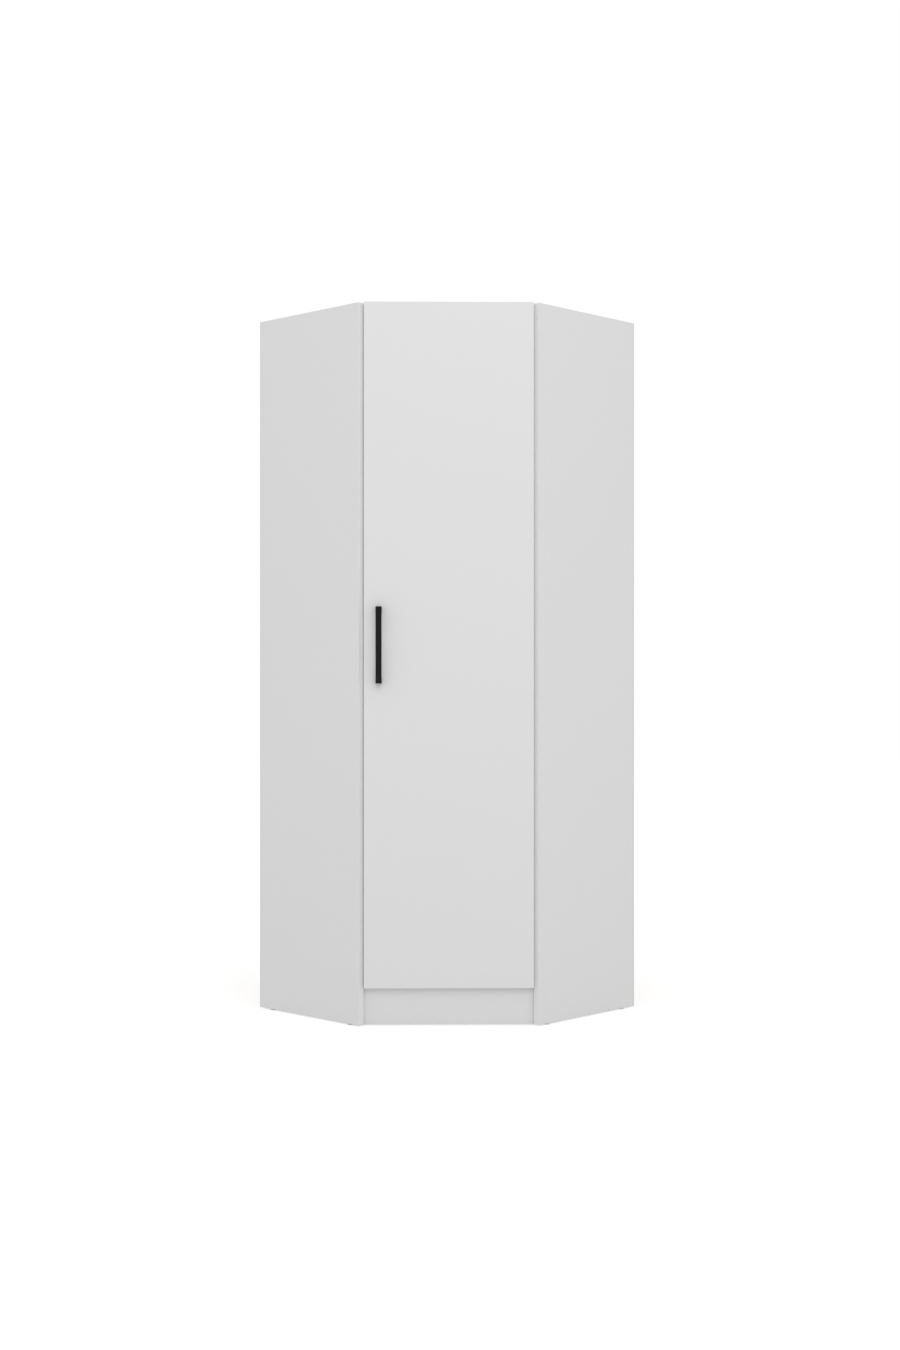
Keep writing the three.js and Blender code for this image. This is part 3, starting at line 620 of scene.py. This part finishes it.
def edge_length(tree):
    """Length of each edge, from its two ends."""
    ends = tree.nodes.new("GeometryNodeInputMeshEdgeVertices")
    return add_node(tree, "ShaderNodeVectorMath", {"operation": "DISTANCE"},
                    _0=ends.outputs["Position 1"], _1=ends.outputs["Position 2"]).outputs["Value"]


def edge_tree(name, shortest):
    """Welds, shades smooth below the curve angle, and weights edges longer than `shortest`."""
    tree = bpy.data.node_groups.new(name, "GeometryNodeTree")
    tree.interface.new_socket("Geometry", in_out="INPUT", socket_type="NodeSocketGeometry")
    tree.interface.new_socket("Geometry", in_out="OUTPUT", socket_type="NodeSocketGeometry")
    entry = tree.nodes.new("NodeGroupInput")
    leave = tree.nodes.new("NodeGroupOutput")
    bare = add_node(tree, "GeometryNodeRemoveAttribute", Geometry=entry.outputs[0],
                    Name="custom_normal").outputs[0]
    whole = add_node(tree, "GeometryNodeMergeByDistance", Geometry=bare,
                     Distance=WELD_REACH).outputs[0]
    turn = tree.nodes.new("GeometryNodeInputMeshEdgeAngle").outputs["Unsigned Angle"]
    sharp = math_node(tree, "GREATER_THAN", turn, CURVE_ANGLE)
    smooth = add_node(tree, "GeometryNodeSetShadeSmooth", {"domain": "FACE"}, Geometry=whole,
                      Shade_Smooth=True).outputs[0]
    parted = add_node(tree, "GeometryNodeSetShadeSmooth", {"domain": "EDGE"}, Geometry=smooth,
                      Selection=sharp, Shade_Smooth=False).outputs[0]
    long = math_node(tree, "GREATER_THAN", edge_length(tree), shortest)
    weight = math_node(tree, "MULTIPLY", long, sharp)
    marked = add_node(tree, "GeometryNodeStoreNamedAttribute",
                      {"data_type": "FLOAT", "domain": "EDGE"}, Geometry=parted,
                      Name="bevel_weight_edge", Value=weight).outputs[0]
    tree.links.new(marked, leave.inputs[0])
    return tree


# %% [markdown]
# ## Which edges are rounded, and how much
#
# Boards are rounded most, thin steel and hardboard least, and all the rest, such as screws, cams, the
# rail and the moving parts of the hinges, not at all: smooth shading is enough there. On a board only
# edges longer than a bore's facets count, and on a small piece shorter ones too. A radius of 0 leaves
# the Bevel out.

# %% Round the edges
LONG_EDGE = 12 * MM
SHORT_EDGE = 4 * MM
BOARD_ROUNDING = 0.7 * MM
BACK_ROUNDING = 0.3 * MM
HANDLE_ROUNDING = 0.4 * MM
STEEL_ROUNDING = 0.3 * MM
BEVEL_STEPS = 2
long_edges = edge_tree("long_edges", LONG_EDGE)
short_edges = edge_tree("short_edges", SHORT_EDGE)


def soften(piece, tree, radius=0.0):
    """Adds the tree and, where a radius is given, a bevel on the weighted edges."""
    piece.modifiers.new("edges", "NODES").node_group = tree
    if radius:
        bevel = piece.modifiers.new("rounding", "BEVEL")
        bevel.limit_method = "WEIGHT"
        bevel.width = radius
        bevel.segments = BEVEL_STEPS
        bevel.use_clamp_overlap = False
        bevel.harden_normals = True


BOARDS = ("side_panel", "rear_stile", "door_panel", "plinth_board", "top_panel", "bottom_panel",
          "hat_shelf")
ROUNDINGS = {
    "back_sheet": (long_edges, BACK_ROUNDING), "handle_screw": (short_edges, 0.0),
    "handle": (short_edges, HANDLE_ROUNDING), "plinth_bracket": (short_edges, STEEL_ROUNDING),
    "stile_angle": (short_edges, STEEL_ROUNDING), "hinge_plate": (short_edges, STEEL_ROUNDING),
    **{board: (long_edges, BOARD_ROUNDING) for board in BOARDS},
    "": (short_edges, 0.0),
}
for name, node in nodes.items():
    soften(node, *first_match(ROUNDINGS, name))
print("rounded:", sum("rounding" in node.modifiers for node in nodes.values()), "solids")

# %% [markdown]
# ## A grid that makes round heads
#
# Screws, cam faces, nail heads and door stops are all low and round, and the first two have a cross
# pressed into them. A disc made of rings and spokes can't hold a crisp cross, because no grid line
# runs along its arms. So the heads start from a square grid: each line of it bends into the disc,
# the middle lines stay almost straight, and a cross follows them exactly.

# %% Head shape
RECESS_TAPER = 0.35


def round_head(radius, side, crown, lines, recess=None):
    """Grid (u, v) in -1..1 bent into a disc: x = u*sqrt(1 - v*v/2), y = v*sqrt(1 - u*u/2).

    The height is the side plus a crown that falls off as 1 - r*r, less the recess there. The same
    grid, flat, closes the head below, and quads between the two outer rings make its side.
    """
    u, v = np.meshgrid(lines, lines, indexing="ij")
    x = u * np.sqrt(1 - v * v / 2)
    y = v * np.sqrt(1 - u * u / 2)
    high = side + crown * (1 - x * x - y * y)
    if recess:
        high = high - recess(u, v)
    top = np.stack([radius * x, radius * y, high], axis=-1).reshape(-1, 3)
    base = top * (1, 1, 0)
    count = len(lines)
    index = np.arange(count * count).reshape(count, count)
    quads = np.stack([index[:-1, :-1], index[1:, :-1], index[1:, 1:], index[:-1, 1:]], axis=-1)
    quads = quads.reshape(-1, 4)
    ring = np.concatenate([index[:, 0], index[-1, 1:], index[-2::-1, -1], index[0, -2:0:-1]])
    after = np.roll(ring, -1)
    below = count * count
    wall = np.stack([ring + below, after + below, after, ring], axis=-1)
    faces = np.concatenate([quads, quads[:, ::-1] + below, wall])
    return np.concatenate([top, base]), faces


def cross_recess(half_width, reach, depth):
    """Depth of a driver's cross: full where either arm covers the point, less towards its ends."""
    def sunk(u, v):
        across = (np.abs(u) <= half_width) & (np.abs(v) <= reach)
        along = (np.abs(v) <= half_width) & (np.abs(u) <= reach)
        fall = 1 - RECESS_TAPER * np.maximum(np.abs(u), np.abs(v)) / reach
        return np.where(across | along, depth * fall, 0.0)
    return sunk


def mirrored_lines(*steps):
    """Grid lines at the given shares of the radius, on both sides of the middle."""
    return np.array([-step for step in reversed(steps)] + list(steps))


# %% [markdown]
# ## Placing many heads at once
#
# Heads of one kind become one object, because they share a finish and ride on one body. Each head is
# turned to face its own way and stopped at its own angle, as under a screwdriver, and the angles
# come from a fixed seed, so they are the same on every run. One whole-array product turns all the
# points together, where copies of a small object would each need a place and a turn of their own.

# %% Placing heads
NEARLY_UPRIGHT = 0.9


def turned_frames(facing, turns):
    """Three axes for each head: its facing, and two across it, turned about it by an angle."""
    facing = facing / np.linalg.norm(facing, axis=1, keepdims=True)
    level = np.abs(facing[:, 2:3]) < NEARLY_UPRIGHT
    guide = np.where(level, (0.0, 0.0, 1.0), (1.0, 0.0, 0.0))
    first = np.cross(guide, facing)
    first /= np.linalg.norm(first, axis=1, keepdims=True)
    second = np.cross(facing, first)
    cosine, sine = np.cos(turns)[:, None], np.sin(turns)[:, None]
    return np.stack([first * cosine + second * sine, second * cosine - first * sine, facing], axis=1)


def surface(name, points, faces, finish):
    """A smooth mesh object at the origin from whole arrays of points and quads."""
    mesh = bpy.data.meshes.new(name)
    mesh.from_pydata(points.tolist(), [], faces.tolist())
    mesh.polygons.foreach_set("use_smooth", np.ones(len(mesh.polygons), bool))
    mesh.materials.append(finish)
    return into_scene(name, mesh)


def place_heads(name, head, places, facings, finish, body, seed=1):
    """Copies a head to each place; `facings` is one direction for all, or one for each."""
    local, quads = head
    count = len(places)
    turns = np.random.default_rng(seed).uniform(0, math.pi, count)
    frames = turned_frames(np.broadcast_to(np.array(facings, float), (count, 3)), turns)
    points = np.einsum("pi,kij->kpj", local, frames) + np.array(places, float)[:, None, :]
    shift = (np.arange(count) * len(local))[:, None, None]
    piece = surface(name, points.reshape(-1, 3), (quads[None] + shift).reshape(-1, 4), finish)
    soften(piece, short_edges)
    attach(piece, body)
    print(name, count, "heads,", len(quads) * count, "quads")
    return piece


# %% [markdown]
# ## Finding places beside the walls
#
# The boards of this wardrobe stand along two walls at 45 degrees to the axes, so a solid's own box
# says little about its faces. Measured along its wall, away from it and upwards, the same solid has
# plain numbers: how far out a panel stands, how deep a stile reaches. Two short functions go there
# and back, and every screw and nail below is placed with them or from a box.

# %% Plan directions
room_corner = np.array([0.0, wall_line, 0.0])
WALLS = {
    "left": (np.array(ALONG_LEFT), np.array(ALONG_RIGHT)),
    "right": (np.array(ALONG_RIGHT), np.array(ALONG_LEFT)),
}
UP = np.array([0.0, 0.0, 1.0])
BACKWARDS = np.array([0.0, 1.0, 0.0])


def beside_wall(side, out, deep, height):
    """A point `out` along a wall from the room's corner, `deep` away from the wall, in mm."""
    along, away = WALLS[side]
    return room_corner + (along * out + away * deep + UP * height) * MM


def solid_points(name):
    """All points of a solid, in metres."""
    mesh = nodes[name].data
    points = np.empty(len(mesh.vertices) * 3)
    mesh.vertices.foreach_get("co", points)
    return points.reshape(-1, 3)


def wall_box(name, side):
    """Lowest and highest (out, deep, height) of a solid beside a wall, in mm."""
    along, away = WALLS[side]
    beside = (solid_points(name) - room_corner) @ np.stack([along, away, UP], axis=1) / MM
    return beside.min(axis=0), beside.max(axis=0)


def node_middle(name):
    """Centre of a solid's box."""
    low, high = solid_box(name)
    return (low + high) / 2


print("stile beside the left wall, mm:", [corner.round(1).tolist() for corner in
                                          wall_box("rear_stile", "left")])

# %% [markdown]
# ## Screw heads
#
# Every fitting is held by pan-head screws with a driver's cross. The grid has a line at each edge of
# the cross and one close beside it, so that the recess has steep, crisp walls and the rest of the
# head needs few faces. Screws in the handle are wider and flatter, those in the hinge arms smaller.
# All screws and nails have one finish, so a helper fills it in.

# %% Screw heads
CROSS_HALF = 0.12
CROSS_REACH = 0.54
CROSS_LINES = mirrored_lines(CROSS_HALF, 0.2, 0.3, CROSS_REACH, 0.62, 0.8, 1.0)
SCREW_CROSS = cross_recess(CROSS_HALF, CROSS_REACH, depth=0.9 * MM)
FINE_CROSS = cross_recess(CROSS_HALF, CROSS_REACH, depth=0.6 * MM)
pan_head = round_head(3.5 * MM, side=0.7 * MM, crown=0.9 * MM, lines=CROSS_LINES, recess=SCREW_CROSS)
wide_head = round_head(4.0 * MM, side=0.3 * MM, crown=1.0 * MM, lines=CROSS_LINES, recess=SCREW_CROSS)
small_head = round_head(2.6 * MM, side=0.5 * MM, crown=0.6 * MM, lines=CROSS_LINES, recess=FINE_CROSS)


def place_screws(name, head, places, facings, body, seed):
    """Heads with the finish that all screws and nails share."""
    return place_heads(name, head, places, facings, screw_finish, body, seed)


print("screw head:", len(pan_head[0]), "points,", len(pan_head[1]), "faces")

# %% [markdown]
# ## Hinge screws
#
# A concealed hinge has three pairs of screws: two hold its plate to the side panel, two its arm to
# the plate, and two the ears of its cup to the door. The plate's place beside the right wall gives
# the first two pairs. The cup's box gives its middle, and the ears lie on the door's back. Four of
# the six ride on the case and two on the door, and those in the arm are smaller, so the pairs of one
# kind share an object, and there are three.

# %% Hinge screws
PLATE_STEEL = 2.0  # thickness of the mounting plate
PLATE_SCREW_RISE = 18.0  # its screws, above and below its middle
ARM_RISE = 8.3  # from the plate's face to the outside of the arm
ARM_SCREW_RUN = 8.5  # the arm's screws, before and behind the plate's middle
EAR_STEEL = 1.2  # thickness of the cup's ears
EAR_SCREW_RISE = 24.3  # the ears' screws, above and below the cup's middle
into_case = -WALLS["right"][0]
ear_face = door_high[1] + EAR_STEEL * MM

plate_places, arm_places, ear_places = [], [], []
for level in ("lower", "middle", "upper"):
    low, high = wall_box("hinge_plate_" + level, "right")
    deep, height = (low[1:] + high[1:]) / 2
    face = high[0] - PLATE_STEEL
    cup = node_middle("hinge_cup_" + level)
    for sign in (-1, 1):
        plate_places.append(beside_wall("right", face, deep, height + sign * PLATE_SCREW_RISE))
        arm_places.append(beside_wall("right", face - ARM_RISE, deep - sign * ARM_SCREW_RUN, height))
        ear_places.append((cup[0], ear_face, cup[2] + sign * EAR_SCREW_RISE * MM))
place_screws("hinge_plate_screws", pan_head, plate_places, into_case, "case", seed=2)
place_screws("hinge_arm_screws", small_head, arm_places, into_case, "case", seed=3)
place_screws("hinge_cup_screws", pan_head, ear_places, BACKWARDS, "door", seed=4)

# %% [markdown]
# ## Handle screws
#
# Two screws pass through the door from behind into the handle's feet. Their shanks and plain heads
# are solids of the frame. The face with its cross is laid on the back of each head.

# %% Handle screws
grip_places = []
for end in ("lower", "upper"):
    low, high = solid_box("handle_screw_" + end)
    middle = (low + high) / 2
    grip_places.append((middle[0], high[1], middle[2]))
place_screws("handle_screw_heads", wide_head, grip_places, BACKWARDS, "door", seed=5)

# %% [markdown]
# ## Screws in the stile's angles
#
# Three steel angles hold the stile to the top, the shelf and the bottom panel. Each has one screw in
# either leg. The angle's place beside the left wall gives both: its lowest depth is the stile's
# face, and its highest or lowest point is the board that it lies against.

# %% Angle screws
ANGLE_STEEL = 2.0  # thickness of all bent angles and brackets
ANGLE_SCREW_RUN = 18.0  # from the corner of the angle to a screw
away_left = WALLS["left"][1]

places, facings = [], []
for level, face in (("top", 1), ("shelf", 1), ("bottom", -1)):
    low, high = wall_box("stile_angle_" + level, "left")
    out = (low[0] + high[0]) / 2
    seat = (high if face > 0 else low)[2]
    places.append(beside_wall("left", out, low[1] + ANGLE_STEEL, seat - face * ANGLE_SCREW_RUN))
    facings.append(away_left)
    places.append(beside_wall("left", out, low[1] + ANGLE_SCREW_RUN, seat - face * ANGLE_STEEL))
    facings.append(-face * UP)
place_screws("stile_angle_screws", pan_head, places, facings, "case", seed=6)

# %% [markdown]
# ## Screws in the plinth's brackets
#
# Two strips, bent at 45 degrees, join the plinth to the side panels. One leg lies along the plinth's
# back, so its screw is found from the box's inner end. The other leg runs back along the panel and
# ends in the box's outer rear corner, so its screw is found from there.

# %% Plinth screws
BRACKET_RUN = 14.0  # from the inner end of the leg on the plinth
BRACKET_TAIL = 12.0  # from the rear end of the leg on the panel
tail = BRACKET_TAIL * MM * DIAGONAL
skin = ANGLE_STEEL * MM * DIAGONAL

places, facings = [], []
for side, sign in (("left", -1), ("right", 1)):
    low, high = solid_box("plinth_bracket_" + side)
    inner, outer = (low[0], high[0]) if sign > 0 else (high[0], low[0])
    middle = (low[2] + high[2]) / 2
    places.append((inner + sign * BRACKET_RUN * MM, low[1] + ANGLE_STEEL * MM, middle))
    facings.append(BACKWARDS)
    places.append((outer - sign * (skin + tail), high[1] - tail, middle))
    facings.append((-sign * DIAGONAL, DIAGONAL, 0.0))
place_screws("plinth_bracket_screws", pan_head, places, facings, "case", seed=7)

# %% [markdown]
# ## Screws under the rail's brackets
#
# The foot of each rail bracket is a plate under the shelf, with a screw before and behind the rail.

# %% Rail screws
RAIL_SCREW_RUN = 15.0  # from the rail's middle to a screw

places = []
for side in ("left", "right"):
    low, high = solid_box("rail_bracket_" + side)
    middle = (low + high) / 2
    for sign in (-1, 1):
        places.append((middle[0], middle[1] + sign * RAIL_SCREW_RUN * MM, high[2] - ANGLE_STEEL * MM))
place_screws("rail_bracket_screws", pan_head, places, -UP, "case", seed=8)

# %% [markdown]
# ## Cam faces
#
# The boards are drawn against the side panels by cams: cast drums in bores on the underside, turned
# with a screwdriver. The drum's end shows as a round face with a broad cross. The drums are solids
# of the frame, so only a thin pressed face is laid on each, found from the drum's lowest points.

# %% Cam faces
CAM_CROSS_HALF = 0.11
CAM_CROSS_REACH = 0.74
CAM_LINES = mirrored_lines(CAM_CROSS_HALF, 0.19, 0.4, CAM_CROSS_REACH, 0.82, 1.0)
CAM_CROSS = cross_recess(CAM_CROSS_HALF, CAM_CROSS_REACH, depth=0.3 * MM)
LOWEST_BAND = 0.05 * MM
cam_head = round_head(7.3 * MM, side=0.35 * MM, crown=0.0, lines=CAM_LINES, recess=CAM_CROSS)


def drum_foot(name):
    """Centre of a solid's lowest face, as the middle of the points that lie in it."""
    points = solid_points(name)
    foot = points[points[:, 2] < points[:, 2].min() + LOWEST_BAND]
    return (foot.min(axis=0) + foot.max(axis=0)) / 2


cam_places = [drum_foot(name) for name in sorted(nodes) if name.startswith("cam_")]
place_heads("cam_faces", cam_head, cam_places, -UP, cast_finish, "case", seed=9)

# %% [markdown]
# ## Nails in the backs
#
# The hardboard stiffens the whole case, so it is nailed to every board that it crosses, about every
# hand's width, and half as often up the stile. A nail head is only 5 mm across, and there are nearly
# ninety, so each is a coarse grid of thirty faces: nobody counts the corners of a nail, but its
# shadow shows.

# %% Nail heads
NAIL_LINES = mirrored_lines(0.4, 1.0)
NAIL_STEP = 105.0
NAIL_END = 45.0
nail_head = round_head(2.4 * MM, side=0.12 * MM, crown=0.35 * MM, lines=NAIL_LINES)
sheet_low, sheet_high = wall_box("back_sheet_left", "left")


def run_middle(name, side):
    """How far out along a wall a solid's middle stands, in mm."""
    low, high = wall_box(name, side)
    return (low[0] + high[0]) / 2


def even_steps(start, end, step):
    """Places from start to end, as near to a step apart as whole steps allow."""
    return np.linspace(start, end, max(2, round((end - start) / step) + 1))


def nail_places(side):
    """Nails up the side panel and the stile, and along the levels between them."""
    foot, head = sheet_low[2] + NAIL_END, sheet_high[2] - NAIL_END
    panel_run = run_middle("side_panel_" + side, side)
    stile_run = run_middle("rear_stile", side)
    first_run = run_middle("rear_stile", "left") + NAIL_STEP
    spots = [(panel_run, rise) for rise in even_steps(foot, head, NAIL_STEP)]
    spots += [(stile_run, rise) for rise in even_steps(foot, head - NAIL_END, 2 * NAIL_STEP)]
    levels = [node_middle(name)[2] / MM for name in ("top_panel", "hat_shelf", "bottom_panel")]
    runs = even_steps(first_run, sheet_high[0] - NAIL_STEP / 2, NAIL_STEP)
    spots += [(run, level) for level in levels for run in runs]
    return [beside_wall(side, out, 0.0, rise) for out, rise in spots]


for number, side in enumerate(("left", "right")):
    place_screws("back_nails_" + side, nail_head, nail_places(side), -WALLS[side][1], "case",
                 seed=10 + number)

# %% [markdown]
# ## Door stops
#
# Two soft pads keep the door from knocking on the case. The solid is a plain disc that leaves room
# for the physics; the real pad is a small dome stuck to the board's edge, so a domed head takes its
# place, from the board out to where the disc ends.

# %% Domed stops
STOP_LINES = np.linspace(-1.0, 1.0, 9)
STOP_SIDE_SHARE = 0.45
case_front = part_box("top_panel")[0][1]
for end in ("top", "bottom"):
    low, high = solid_box("door_buffer_" + end)
    depth = case_front - low[1]
    side = depth * STOP_SIDE_SHARE
    dome = round_head((high[0] - low[0]) / 2, side, crown=depth - side, lines=STOP_LINES)
    middle = (low + high) / 2
    stop = place_heads("door_stop_" + end, dome, [(middle[0], case_front, middle[2])],
                       -BACKWARDS, stop_finish, "case")
    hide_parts("door_buffer_" + end)
